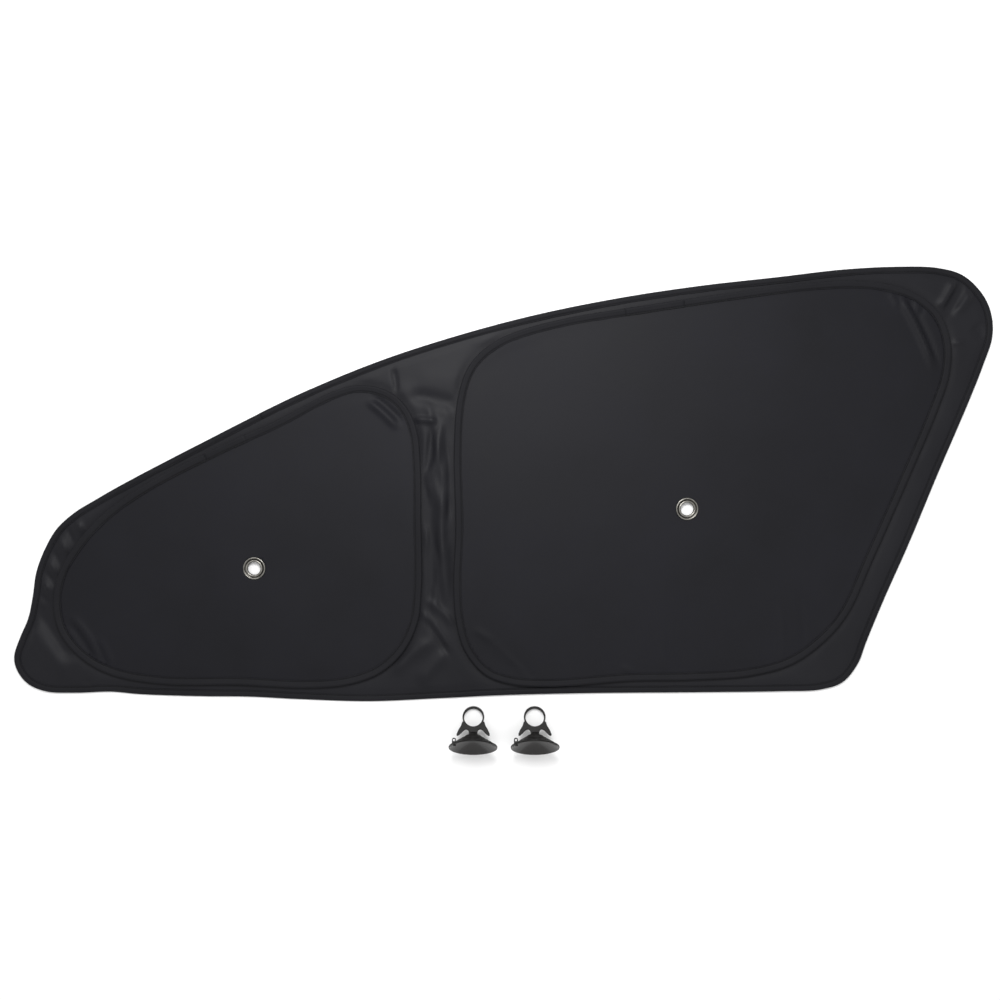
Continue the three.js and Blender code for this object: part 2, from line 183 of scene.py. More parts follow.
def inside(loop_points, x, y):
    """Which points lie inside a closed polygon."""
    hit = np.zeros(x.shape, bool)
    following = np.roll(loop_points, -1, axis=0)
    for (x0, y0), (x1, y1) in zip(loop_points, following):
        if y0 == y1:
            continue
        crosses = (y0 > y) != (y1 > y)
        hit ^= crosses & (x < (x1 - x0) * (y - y0) / (y1 - y0) + x0)
    return hit


def nearest(loop_points, x, y):
    """Distance to a closed polygon and the nearest place on it."""
    best = np.full(x.shape, np.inf)
    px, py = np.zeros(x.shape), np.zeros(x.shape)
    following = np.roll(loop_points, -1, axis=0)
    for (x0, y0), (x1, y1) in zip(loop_points, following):
        dx, dy = x1 - x0, y1 - y0
        t = np.clip(((x - x0) * dx + (y - y0) * dy) / (dx * dx + dy * dy), 0, 1)
        qx, qy = x0 + t * dx, y0 + t * dy
        d = np.hypot(x - qx, y - qy)
        closer = d < best
        best = np.where(closer, d, best)
        px, py = np.where(closer, qx, px), np.where(closer, qy, py)
    return best, px, py


def value_noise(x, y, size, seed):
    """Smooth noise from -1 to 1 with features of about the given size."""
    table = np.random.default_rng(seed).uniform(-1, 1, (NOISE_CELLS, NOISE_CELLS))
    u, v = x / size, y / size
    i, j = np.floor(u).astype(int), np.floor(v).astype(int)
    fu, fv = smoothstep(u - i, 0, 1), smoothstep(v - j, 0, 1)
    left, right = i % NOISE_CELLS, (i + 1) % NOISE_CELLS
    low, high = j % NOISE_CELLS, (j + 1) % NOISE_CELLS
    a, b, c, d = table[left, low], table[right, low], table[left, high], table[right, high]
    return (a * (1 - fu) + b * fu) * (1 - fv) + (c * (1 - fu) + d * fu) * fv


def crease(x, y, start, end, width, height):
    """A straight ridge, or a valley where the height is negative, that fades at both ends."""
    dx, dy = end[0] - start[0], end[1] - start[1]
    length = math.hypot(dx, dy)
    t = ((x - start[0]) * dx + (y - start[1]) * dy) / length ** 2
    off = ((y - start[1]) * dx - (x - start[0]) * dy) / length
    bend = CREASE_BOW * length * (t - 0.5) ** 2
    fade = smoothstep(t, *CREASE_FADE_IN) * (1 - smoothstep(t, *CREASE_FADE_OUT))
    return height * np.exp(-((off + bend) / width) ** 2) * fade


def new_object(name, vertices, faces, material, smooth=True):
    """A mesh from places in metres."""
    mesh = bpy.data.meshes.new(name)
    mesh.from_pydata([tuple(v) for v in vertices], [], [tuple(f) for f in faces])
    mesh.validate()
    mesh.polygons.foreach_set("use_smooth", [smooth] * len(mesh.polygons))
    mesh.materials.append(material)
    made = bpy.data.objects.new(name, mesh)
    bpy.context.scene.collection.objects.link(made)
    return made


def orient(piece):
    """Turns every face outwards."""
    work = bmesh.new()
    work.from_mesh(piece.data)
    bmesh.ops.recalc_face_normals(work, faces=work.faces)
    work.to_mesh(piece.data)
    work.free()
    return piece


def finish_piece(piece, slot, *nodes):
    """Ties a piece to the body and hides the CAD nodes that it stands for. The slot argument is not used."""
    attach(piece, body)
    if nodes:
        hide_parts(*nodes)
    return piece


# Materials

def new_material(name):
    material = bpy.data.materials.new(name)
    material.use_nodes = True
    return material, material.node_tree.nodes["Principled BSDF"]


def add_node(material, kind, settings=None, links=None):
    """Adds a node, sets its values and links its inputs."""
    made = material.node_tree.nodes.new(kind)
    for key, value in (settings or {}).items():
        if key in made.inputs:
            made.inputs[key].default_value = value
        else:
            setattr(made, key, value)
    for key, output in (links or {}).items():
        material.node_tree.links.new(output, made.inputs[key])
    return made


def set_shader(shader, **values):
    for key, value in values.items():
        shader.inputs[key.replace("_", " ")].default_value = value


# Where a noise's dark and light shades begin
SHADE_PLACES = (0.3, 0.7)
# Blender's wave texture repeats every 0.314 units at scale 1
WAVE_PERIOD = 0.314


def noise(material, scale, detail=2.0, roughness=0.5):
    """Fractal noise from 0 to 1 in the object's own coordinates."""
    coords = add_node(material, "ShaderNodeTexCoord").outputs["Object"]
    made = add_node(material, "ShaderNodeTexNoise",
                    {"Scale": scale, "Detail": detail, "Roughness": roughness}, {"Vector": coords})
    return made.outputs["Fac"]


def tint(material, shader, source, dark, light):
    """Base colour between two shades, led by a noise."""
    made = add_node(material, "ShaderNodeValToRGB", links={"Fac": source})
    for element, place, colour in zip(made.color_ramp.elements, SHADE_PLACES, (dark, light)):
        element.position = place
        element.color = linear(colour)
    material.node_tree.links.new(made.outputs["Color"], shader.inputs["Base Color"])


def vary_roughness(material, shader, source, low, high):
    made = add_node(material, "ShaderNodeMapRange", {"To Min": low, "To Max": high}, {"Value": source})
    material.node_tree.links.new(made.outputs["Result"], shader.inputs["Roughness"])


def add_bump(material, shader, height, strength, depth):
    """Fine relief, its depth in millimetres."""
    made = add_node(material, "ShaderNodeBump", {"Strength": strength, "Distance": depth * MM},
                    {"Height": height})
    material.node_tree.links.new(made.outputs["Normal"], shader.inputs["Normal"])


def weave_height(material, spacing):
    """Plain weave: two crossed sets of threads, at a spacing in millimetres."""
    coords = add_node(material, "ShaderNodeTexCoord").outputs["Object"]
    waves = []
    for direction in ("X", "Y"):
        wave = add_node(material, "ShaderNodeTexWave",
                        {"wave_type": "BANDS", "bands_direction": direction, "wave_profile": "SIN",
                         "Scale": WAVE_PERIOD / (spacing * MM), "Distortion": 0.0},
                        {"Vector": coords})
        waves.append(wave.outputs["Fac"])
    crossed = add_node(material, "ShaderNodeMath", {"operation": "MULTIPLY"}, {0: waves[0], 1: waves[1]})
    return crossed.outputs[0]


def woven_cloth(name, dark, light, roughness, spacing, specular):
    """Black polyester cloth: fine threads, faint cloudy shade and a soft sheen."""
    material, shader = new_material(name)
    cloud = noise(material, 9.0, 5.0, 0.55)
    tint(material, shader, cloud, dark, light)
    vary_roughness(material, shader, cloud, roughness - 0.06, roughness + 0.08)
    relief = add_node(material, "ShaderNodeMath", {"operation": "ADD"},
                      {0: weave_height(material, spacing), 1: noise(material, 900.0)})
    add_bump(material, shader, relief.outputs[0], 0.35, 0.12)
    set_shader(shader, Sheen_Weight=0.02, Sheen_Roughness=0.4, Sheen_Tint=linear("#b9bcc8"),
               Specular_IOR_Level=specular)
    return material


# Coated polyester of the taut panels: dull and faintly blue-grey, its threads drawn 0.8 mm apart to show
panel_cloth = woven_cloth("coated_polyester", "#111115", "#15151a", 0.54, 0.8, 0.14)
# Thin taffeta of the loose surround: a little smoother, so its creases catch the light
surround_cloth = woven_cloth("black_taffeta", "#131317", "#18181c", 0.5, 0.8, 0.16)
# Woven polyester tape of the bindings: coarser and matt
binding_tape = woven_cloth("binding_tape", "#161619", "#1c1c1f", 0.66, 0.9, 0.1)


def polyester_thread():
    """Spun polyester sewing thread: matt black with a faint twist."""
    material, shader = new_material("polyester_thread")
    tint(material, shader, noise(material, 1500.0), "#070708", "#111113")
    set_shader(shader, Roughness=0.7, Specular_IOR_Level=0.3)
    return material


def nickel_plate():
    """Nickel-plated brass: warm grey metal, rolled smooth, dulled by handling."""
    material, shader = new_material("nickel_plate")
    tarnish = noise(material, 260.0, 4.0)
    tint(material, shader, tarnish, "#74726d", "#96948e")
    vary_roughness(material, shader, tarnish, 0.2, 0.38)
    set_shader(shader, Metallic=1.0)
    return material


def nickel_painted_shade():
    """The same plating in the recesses and the bore, rougher, its colour darkened as painted shade."""
    material, shader = new_material("nickel_painted_shade")
    tint(material, shader, noise(material, 400.0, 3.0), "#2b2a28", "#4b4946")
    set_shader(shader, Metallic=1.0, Roughness=0.5)
    return material


def spring_steel():
    """Oil-tempered spring wire: drawn steel, faintly mottled."""
    material, shader = new_material("spring_steel")
    tint(material, shader, noise(material, 700.0, 3.0), "#6d7073", "#8f9295")
    set_shader(shader, Metallic=1.0, Roughness=0.35)
    return material


def soft_pvc():
    """Plasticised black PVC: moulded satin, cloudy with a fine skin."""
    material, shader = new_material("soft_pvc")
    cloud = noise(material, 120.0, 4.0)
    tint(material, shader, cloud, "#0b0a0a", "#131211")
    vary_roughness(material, shader, cloud, 0.42, 0.54)
    add_bump(material, shader, cloud, 0.15, 0.1)
    set_shader(shader, Specular_IOR_Level=0.17)
    return material


def polished_pvc():
    """The cup's hollow, moulded against a polished core so that it holds on glass: it shines softly."""
    material, shader = new_material("polished_pvc")
    film = noise(material, 90.0, 3.0)
    tint(material, shader, film, "#12100f", "#1c1918")
    vary_roughness(material, shader, film, 0.12, 0.24)
    set_shader(shader, Specular_IOR_Level=0.5)
    return material


thread = polyester_thread()
nickel = nickel_plate()
# Darker nickel for the eyelets' recess and bore faces: painted shade
recess = nickel_painted_shade()
steel = spring_steel()
pvc = soft_pvc()
hollow_pvc = polished_pvc()

# Where the outlines lie in the frame, and the levels of the CAD layers

shade = smooth_loop(SHADE_EDGE, STATION_SPACING)
front_hoop = smooth_loop(FRONT_HOOP_EDGE, STATION_SPACING)
rear_hoop = smooth_loop(REAR_HOOP_EDGE, STATION_SPACING)
edge_low, edge_high = (np.array(c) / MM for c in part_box("outer_edge_binding"))
SHIFT = edge_high[:2] - shade["at"].max(axis=0)
hoop_low, hoop_high = (np.array(c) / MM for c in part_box("rear_hoop_binding"))
PANEL_LEVEL = (hoop_low[2] + hoop_high[2]) / 2
BEAD_RADIUS = (hoop_high[2] - hoop_low[2]) / 2
EDGE_HEIGHT = edge_high[2] - edge_low[2]
SURROUND_LEVEL = EDGE_HEIGHT / 2


def to_frame(x, y, z):
    """Places in the outlines' millimetres, as places in the frame in metres."""
    return np.column_stack([(x + SHIFT[0]) * MM, (y + SHIFT[1]) * MM, z * MM])


# Bindings

def station_near(loop, place):
    return int(np.argmin(np.hypot(loop["at"][:, 0] - place[0], loop["at"][:, 1] - place[1])))


def sweep_piece(name, loop, section_at, material, span=None):
    """Carries a closed section round a loop, or from one place on it to the next and capped at both.
    section_at gives (distance in, height) for every station."""
    sections = section_at(loop)
    count = len(sections)
    stations = len(loop["at"])
    rings = []
    for distance, height in sections:
        place = inset(loop, np.broadcast_to(distance, stations))
        rings.append(to_frame(place[:, 0], place[:, 1], np.broadcast_to(height, stations)))
    rings = np.stack(rings, axis=1)
    if span:
        first, last = (station_near(loop, place) for place in span)
        rings = rings[np.arange(first, last + 1 if last > first else last + stations + 1) % stations]
    number = len(rings)
    faces = []
    for i in range(number - 1 if span else number):
        k = (i + 1) % number
        for j in range(count):
            m = (j + 1) % count
            faces.append((i * count + j, i * count + m, k * count + m, k * count + j))
    if span:
        faces += [tuple(range(count)), tuple((number - 1) * count + j for j in reversed(range(count)))]
    return orient(new_object(name, rings.reshape(-1, 3), faces, material))


def thickened(section_at, middle, wider, higher):
    """The section of a second turn of tape over the first, where its ends overlap.
    Both tapes are widened about the middle of a hoop's tape."""
    def section(loop):
        points = section_at(loop)
        centre = HOOP_BINDING_WIDTH / 2
        return [(centre + (u - centre) * wider, middle + (z - middle) * higher) for u, z in points]
    return section


def pucker(loop, size, seed):
    """Small uneven swells along a sewn tape, in millimetres."""
    x, y = loop["at"][:, 0], loop["at"][:, 1]
    return value_noise(x, y, size, seed) + 0.5 * value_noise(x, y, size / 2.3, seed + 1)


def hoop_section(loop):
    """Tape round the wire: a bead, a dip to the seam and a free edge, above and below the panel."""
    swell = 0.18 * pucker(loop, 9.0, 3)
    width = HOOP_BINDING_WIDTH + 0.25 * pucker(loop, 14.0, 11)
    bead = [math.radians(180 - a) for a in (0, 30, 60, 90, 118)]
    flap = [(4.6, 1.25 + swell),
            (HOOP_STITCH - GROOVE_SHOULDER, 1.15 + swell), (HOOP_STITCH - GROOVE_BOTTOM, 0.5),
            (HOOP_STITCH + GROOVE_BOTTOM, 0.48), (HOOP_STITCH + GROOVE_SHOULDER, 0.95 + 0.6 * swell),
            (width - 0.1, 0.9 + 0.6 * swell), (width + 0.05, 0.4)]
    upper = [(BEAD_RADIUS * (1 + math.cos(a)), PANEL_LEVEL + BEAD_RADIUS * math.sin(a)) for a in bead]
    upper += [(u, PANEL_LEVEL + h) for u, h in flap]
    inner = [(width - 0.4, 0.3), (4.2, 0.3), (2.9, 0.9), (BEAD_RADIUS, BEAD_RADIUS - TAPE),
             (0.85, 1.1), (TAPE, 0.0)]
    inner_upper = [(u, PANEL_LEVEL + h) for u, h in inner]
    inner_lower = [(u, 2 * PANEL_LEVEL - z) for u, z in inner_upper[:-1]][::-1]
    lower = [(u, 2 * PANEL_LEVEL - z) for u, z in upper[1:]][::-1]
    return upper + inner_upper + inner_lower + lower


def edge_lift(x, y):
    """How far the loose outer edge lies off the surface, in millimetres."""
    return 0.5 + 0.5 * value_noise(x, y, 90.0, 21)


def edge_section(loop):
    """Tape folded round the cloth's edge with its seam line and free edge."""
    swell = 0.2 * pucker(loop, 11.0, 31)
    width = EDGE_BINDING_WIDTH + 0.2 * pucker(loop, 16.0, 33)
    middle = EDGE_HEIGHT / 2 + edge_lift(loop["at"][:, 0], loop["at"][:, 1])
    top = [(0.0, 0.0), (0.12, 0.45), (0.5, 0.8), (1.4, 0.95 + swell), (3.2, 1.0 + swell),
           (EDGE_STITCH - GROOVE_SHOULDER, 0.95 + swell), (EDGE_STITCH - GROOVE_BOTTOM, 0.4),
           (EDGE_STITCH + GROOVE_BOTTOM, 0.38), (EDGE_STITCH + GROOVE_SHOULDER, 0.8),
           (width - 0.1, 0.75), (width + 0.05, 0.3)]
    upper = [(u, middle + h) for u, h in top]
    inner = [(width - 0.3, 0.22), (1.4, 0.3), (TAPE, 0.0)]
    inner_upper = [(u, middle + h) for u, h in inner]
    inner_lower = [(u, 2 * middle - z) for u, z in inner_upper[:-1]][::-1]
    lower = [(u, middle - 0.85 * h) for u, h in top[1:]][::-1]
    return upper + inner_upper + inner_lower + lower


def stitches(name, loop, distance, levels, span=None, girth_scale=1.0):
    """A row of single stitches at a distance in, all round or along a span.
    levels holds the heights at every station, one array for each face that the row shows on."""
    length = loop["length"]
    count = int(length / STITCH_PITCH)
    start = (np.arange(count) + UNEVEN_ALONG * rng.uniform(-1, 1, count)) * STITCH_PITCH
    if span:
        first, last = (loop["s"][station_near(loop, place)] for place in span)
        start = start[(start - first) % length < (last - first) % length]
    jitter = UNEVEN_ACROSS * rng.uniform(-1, 1, len(start))
    track = inset(loop, distance)
    closed = np.vstack([track, track[:1]])
    s = np.append(loop["s"], length)
    last_ring = (len(STITCH_SHAPE) - 1) * STITCH_SIDES
    vertices, faces = [], []
    for level in levels:
        height = np.append(level, level[0])
        for begin, aside in zip(start, jitter):
            base = len(vertices)
            for share, girth in STITCH_SHAPE:
                at = (begin + share * STITCH_LENGTH) % length
                ahead = (at + LOOK_AHEAD) % length
                here, there = (np.array([np.interp(d, s, closed[:, k]) for k in (0, 1)])
                               for d in (at, ahead))
                along = (there - here) / np.linalg.norm(there - here)
                across = np.array([-along[1], along[0]])
                z = np.interp(at, s, height)
                reach = girth * girth_scale * THREAD_RADIUS
                for j in range(STITCH_SIDES):
                    angle = 2 * math.pi * j / STITCH_SIDES
                    place = here + across * (aside + reach * math.cos(angle))
                    vertices.append((place[0], place[1], z + reach * math.sin(angle)))
            for a in range(base, base + last_ring, STITCH_SIDES):
                for j in range(STITCH_SIDES):
                    m = (j + 1) % STITCH_SIDES
                    faces.append((a + j, a + m, a + STITCH_SIDES + m, a + STITCH_SIDES + j))
            faces.append(tuple(base + j for j in reversed(range(STITCH_SIDES))))
            faces.append(tuple(base + last_ring + j for j in range(STITCH_SIDES)))
    v = np.array(vertices)
    return orient(new_object(name, to_frame(v[:, 0], v[:, 1], v[:, 2]), faces, thread))


def flat_level(loop, height):
    return np.full(len(loop["at"]), float(height))


edge_binding = sweep_piece("outer_binding_tape", shade, edge_section, binding_tape)
finish_piece(edge_binding, "binding_tape", "outer_edge_binding")
# The ends of the outer tape overlap on the sloping roof side
edge_overlap = sweep_piece("outer_binding_overlap", shade,
                           thickened(edge_section, EDGE_HEIGHT / 2, 1.04, 1.16), binding_tape,
                           ((-192, 93), (-244, 66)))
finish_piece(edge_overlap, "binding_tape")
edge_middle = EDGE_HEIGHT / 2 + edge_lift(shade["at"][:, 0], shade["at"][:, 1])
edge_thread = stitches("outer_binding_stitches", shade, EDGE_STITCH,
                       [edge_middle + 0.5, edge_middle - 0.45])
finish_piece(edge_thread, "binding_tape")

# Where the ends of each hoop's tape overlap, and where its seam is sewn twice, both counter-clockwise
OVERLAPS = {"front": ((-257, 43), (-300, 28)), "rear": ((178, 184), (120, 175))}
DOUBLE_SEAMS = {"front": ((-257, 43), (-382, -14)), "rear": ((286, 199), (121, 175))}
for name, loop in (("front", front_hoop), ("rear", rear_hoop)):
    tape = sweep_piece(f"{name}_hoop_tape", loop, hoop_section, binding_tape)
    finish_piece(tape, "binding_tape", f"{name}_hoop_binding")
    sewn = stitches(f"{name}_hoop_stitches", loop, HOOP_STITCH,
                    [flat_level(loop, PANEL_LEVEL + SEAM_RISE), flat_level(loop, PANEL_LEVEL - SEAM_RISE)])
    finish_piece(sewn, "binding_tape")
    overlap = sweep_piece(f"{name}_hoop_overlap", loop, thickened(hoop_section, PANEL_LEVEL, 1.05, 1.13),
                          binding_tape, OVERLAPS[name])
    finish_piece(overlap, "binding_tape")
    double = stitches(f"{name}_hoop_double_seam", loop, HOOP_STITCH + SECOND_SEAM_OFFSET,
                      [flat_level(loop, PANEL_LEVEL + SECOND_SEAM_RISE)], DOUBLE_SEAMS[name],
                      SECOND_SEAM_GIRTH)
    finish_piece(double, "binding_tape")

# Cloth

def cloth_patch(name, outer, holes, spacing, height, material):
    """A sheet of cloth: a grid cut to its outlines, its edge drawn on to them, with a small thickness."""
    low, high = outer.min(axis=0), outer.max(axis=0)
    xs = np.arange(low[0] - spacing, high[0] + 2 * spacing, spacing)
    ys = np.arange(low[1] - spacing, high[1] + 2 * spacing, spacing)
    gx, gy = np.meshgrid(xs, ys, indexing="ij")
    keep = inside(outer, gx, gy)
    for hole in holes:
        keep &= ~inside(hole, gx, gy)
    cells = keep[:-1, :-1] & keep[1:, :-1] & keep[1:, 1:] & keep[:-1, 1:]
    around = np.zeros(keep.shape, int)
    for di in (0, 1):
        for dj in (0, 1):
            around[di:di + cells.shape[0], dj:dj + cells.shape[1]] += cells
    used = around > 0
    border = used & (around < 4)
    bx, by = gx[border], gy[border]
    best = np.full(bx.shape, np.inf)
    tx, ty = bx.copy(), by.copy()
    for line in [outer, *holes]:
        d, qx, qy = nearest(line, bx, by)
        closer = d < best
        best = np.where(closer, d, best)
        tx, ty = np.where(closer, qx, tx), np.where(closer, qy, ty)
    gx[border], gy[border] = tx, ty
    index = -np.ones(keep.shape, int)
    index[used] = np.arange(used.sum())
    x, y = gx[used], gy[used]
    z = height(x, y)
    ci, cj = np.nonzero(cells)
    quads = np.column_stack([index[ci, cj], index[ci + 1, cj], index[ci + 1, cj + 1], index[ci, cj + 1]])
    piece = new_object(name, to_frame(x, y, z), quads, material)
    solid = piece.modifiers.new("thickness", "SOLIDIFY")
    solid.thickness = CLOTH * MM
    solid.offset = 0.0
    apply_modifier(piece, solid)
    return piece


def apply_modifier(piece, modifier):
    with bpy.context.temp_override(object=piece, active_object=piece, selected_objects=[piece]):
        bpy.ops.object.modifier_apply(modifier=modifier.name)


# Creases of the loose surround: from, to, half width and height, in millimetres
SURROUND_CREASES = [
    ((-70, 59), (-78, 9), 3.2, -2.4), ((-62, 60), (-70, 6), 3.6, 2.2),
    ((-76, 4), (-70, -116), 3.0, -2.6), ((-64, 0), (-61, -116), 3.8, 2.4),
    ((-91, 65), (-68, 63), 2.4, 2.8), ((-92, 90), (-46, 79), 7.0, -2.2),
    ((-80, -128), (-52, -164), 3.0, 2.4), ((-74, -116), (-48, -141), 3.0, 1.8),
    ((-76, -134), (-54, -172), 3.4, -1.8), ((-109, -184), (-74, -156), 6.0, 2.0),
    ((-84, -196), (-56, -166), 6.0, 2.0), ((-110, 114), (-107, 92), 2.2, -1.6),
    ((-72, 76), (-57, -30), 3.2, 2.2), ((-55, 42), (-53, -34), 2.6, -2.0),
    ((-60, -34), (-56, -112), 4.2, 1.4), ((-66, -60), (-62, -118), 2.6, -1.6),
    ((-433, -22), (-414, -62), 2.6, 2.6), ((-440, -34), (-424, -72), 2.4, -2.2),
    ((-447, -44), (-430, -84), 2.6, 2.6), ((-455, -56), (-436, -94), 2.4, -2.2),
    ((-461, -66), (-440, -100), 2.6, 2.4), ((-465, -78), (-442, -108), 2.2, -2.0),
    ((-469, -88), (-442, -118), 2.6, 2.4), ((-471, -100), (-444, -132), 2.8, -2.4),
    ((-462, -122), (-434, -172), 7.0, -3.0), ((-474, -140), (-436, -188), 10.0, 3.0),
    ((-410, -198), (-400, -208), 3.0, 1.6), ((-416, -196), (-408, -207), 2.6, -1.4),
    ((462, 209), (442, 168), 5.0, -3.0), ((454, 211), (436, 176), 4.0, 2.6),
    ((471, 198), (452, 170), 4.0, 2.6), ((471, 158), (480, 148), 6.0, -2.0),
    ((446, 141), (458, 141), 2.6, 1.8),
]


# The narrow strip between the hoops, where the surround crumples most: its middle, spread and ends
STRIP_MIDDLE, STRIP_SPREAD, STRIP_FOOT, STRIP_HEAD = -66, 26, (-170, -110), (50, 90)
# How the surround lies: puffed up between its seams, creased, crumpled in the strip, and never lower
# than its lowest level
PUFF, CREASE_GAIN, CRUMPLE_HEIGHT, LOWEST_CLOTH = 0.8, 1.15, 1.5, 0.35


def coarse(loop):
    """Every second station, fine enough to measure distances from."""
    return loop["at"][::2]


def seam_distances(x, y):
    """Distances from the shade's edge and from the nearer hoop, the second 0 inside a hoop."""
    edge, front, rear = (nearest(coarse(loop), x, y)[0] for loop in (shade, front_hoop, rear_hoop))
    within = inside(coarse(front_hoop), x, y) | inside(coarse(rear_hoop), x, y)
    return edge, np.where(within, 0, np.minimum(front, rear))


def surround_height(x, y):
    """The loose cloth's height: held at its seams, free between them."""
    edge, hoops = seam_distances(x, y)
    off_edge = smoothstep(edge, EDGE_BINDING_WIDTH - 1, EDGE_BINDING_WIDTH + 7)
    open_cloth = off_edge * smoothstep(hoops, 0.0, 7.0)
    creases = sum(crease(x, y, *c) for c in SURROUND_CREASES)
    across = np.exp(-((x - STRIP_MIDDLE) / STRIP_SPREAD) ** 2)
    strip = across * smoothstep(y, *STRIP_FOOT) * (1 - smoothstep(y, *STRIP_HEAD))
    crumple = value_noise(x + 0.12 * y, 0.26 * y, 7.0, 41) + 0.6 * value_noise(x - 0.2 * y, 0.4 * y, 9.5, 43)
    ripple = 0.35 * value_noise(x, y, 34.0, 47) + 0.25 * value_noise(x, y, 15.0, 48)
    folds = CREASE_GAIN * creases + CRUMPLE_HEIGHT * strip * crumple + ripple
    lifted = edge_lift(x, y) * smoothstep(hoops, 0.0, 12.0)
    return np.maximum(SURROUND_LEVEL + (PUFF * open_cloth + open_cloth * folds) + lifted, LOWEST_CLOTH)


def panel_height(loop, creases):
    """The height of a taut panel: level at its binding, with a slight sway and its few folds."""
    def height(x, y):
        edge, _, _ = nearest(coarse(loop), x, y)
        free = smoothstep(edge, HOOP_BINDING_WIDTH - 0.5, HOOP_BINDING_WIDTH + 12)
        close = smoothstep(edge, HOOP_BINDING_WIDTH - 0.5, HOOP_BINDING_WIDTH + 3)
        folds = sum(crease(x, y, *c) for c in creases)
        sway = 0.5 * value_noise(x, y, 120.0, 51) + 0.25 * value_noise(x, y, 45.0, 52)
        return PANEL_LEVEL + free * sway + close * folds
    return height


FRONT_CREASES = [
    ((-129, 88), (-102, 64), 2.4, -2.2), ((-133, 82), (-107, 58), 2.8, 2.8),
    ((-432, -138), (-408, -174), 3.2, -1.7), ((-427, -134), (-403, -169), 3.2, 1.8),
    ((-406, -158), (-395, -181), 2.6, -1.4), ((-402, -156), (-391, -180), 2.6, 1.0),
]
REAR_CREASES = [
    ((-24, -146), (26, -190), 3.2, 1.8), ((-19, -150), (30, -193), 3.2, -1.4),
    ((402, 190), (434, 123), 2.8, -2.2), ((396, 188), (428, 121), 3.0, 3.4),
    ((414, 188), (418, 170), 2.4, -1.6), ((408, 188), (413, 170), 2.4, 1.4),
    ((385, 191), (393, 177), 2.2, 1.4), ((390, 192), (397, 179), 2.0, -1.2),
    ((118, -182), (136, -193), 2.6, 0.9), ((94, -150), (96, -192), 2.4, 0.5),
    ((159, -150), (161, -192), 2.4, 0.5), ((277, -120), (279, -176), 2.4, 0.5),
    ((296, -110), (300, -164), 2.4, -0.5),
]


def circle_at(node, radius, sides):
    """A circle in outline coordinates round a CAD node's middle."""
    low, high = (np.array(c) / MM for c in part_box(node))
    centre = (low + high)[:2] / 2 - SHIFT
    angles = np.linspace(0, 2 * math.pi, sides, endpoint=False)
    return np.column_stack([centre[0] + radius * np.cos(angles), centre[1] + radius * np.sin(angles)])


outer = inset(shade, 2 * TAPE)
holes = [inset(front_hoop, SURROUND_TUCK), inset(rear_hoop, SURROUND_TUCK)]
surround = cloth_patch("surround_taffeta", outer, holes, SURROUND_GRID, surround_height, surround_cloth)
finish_piece(surround, "surround_cloth", "surround_sheet")

for name, loop, creases in (("front", front_hoop, FRONT_CREASES), ("rear", rear_hoop, REAR_CREASES)):
    hole = circle_at(f"{name}_eyelet_barrel", EYELET_CUT_RADIUS, EYELET_CUT_SIDES)
    cut = inset(loop, PANEL_TUCK)
    cloth = cloth_patch(f"{name}_panel_cloth", cut, [hole], PANEL_GRID, panel_height(loop, creases),
                        panel_cloth)
    finish_piece(cloth, "panel_cloth", f"{name}_panel_sheet")

# Eyelets

def lathe_piece(name, profile, centre, wobble, shaded_at):
    """A closed profile of (radius, height) in millimetres, turned about a vertical axis.
    The last argument tells from the middle of a stretch of the profile whether it lies in a recess, where
    the faces get the darker nickel as painted shade."""
    profile = np.array(profile)
    radii, heights = profile[:, 0], profile[:, 1]
    rings = []
    for a in np.linspace(0, 2 * math.pi, ROUND_SIDES, endpoint=False):
        grow = 1 + wobble * math.sin(2 * a + 0.6)
        rings.append(np.column_stack([centre[0] + grow * radii * math.cos(a),
                                      centre[1] + grow * radii * math.sin(a), centre[2] + heights]))
    vertices = np.vstack(rings) * MM
    n = len(profile)
    faces = []
    for i in range(ROUND_SIDES):
        k = (i + 1) % ROUND_SIDES
        faces += [(i * n + j, i * n + (j + 1) % n, k * n + (j + 1) % n, k * n + j) for j in range(n)]
    piece = orient(new_object(name, vertices, faces, nickel))
    # The second material, on faces in a recess or the bore, is painted shade
    piece.data.materials.append(recess)
    shaded = [shaded_at(*((profile[j] + profile[(j + 1) % n]) / 2)) for j in range(n)]
    for face in piece.data.polygons:
        face.material_index = int(shaded[face.index % n])
    return piece


def arc_points(centre, radius, start, end, count):
    """Points on an arc between two angles in degrees."""
    return [(centre[0] + radius * math.cos(math.radians(a)), centre[1] + radius * math.sin(math.radians(a)))
            for a in np.linspace(start, end, count)]


# Inside this radius the washer is sunk under the barrel's curl
WASHER_RECESS = 9.5
# The barrel's bore, and where its neck meets the washer outside the curl
BARREL_BORE, CURL_EDGE, CURL_TOP = 6.62, 8.2, 1.5
WASHER_PROFILE = ([(7.1, 0.5), (11.1, 0.5)] + arc_points((10.35, 1.05), 0.78, -10, 200, 11)
                  + [(9.4, 0.7), (7.1, 0.7)])
BARREL_PROFILE = ([(6.4, -0.9), (6.8, -1.3), (10.6, -1.3)] + arc_points((10.65, -0.85), 0.45, -80, 60, 5)
                  + [(6.95, -0.45), (6.95, 1.1)] + arc_points((7.5, 1.35), 1.05, -25, 200, 12)
                  + [(6.4, 0.8)])


# Faces that these pick get the darker nickel, painted shade in the groove and the bore
def washer_recess(radius, height):
    return radius < WASHER_RECESS


def barrel_recess(radius, height):
    return radius < BARREL_BORE or (radius > CURL_EDGE and 0 < height < CURL_TOP)


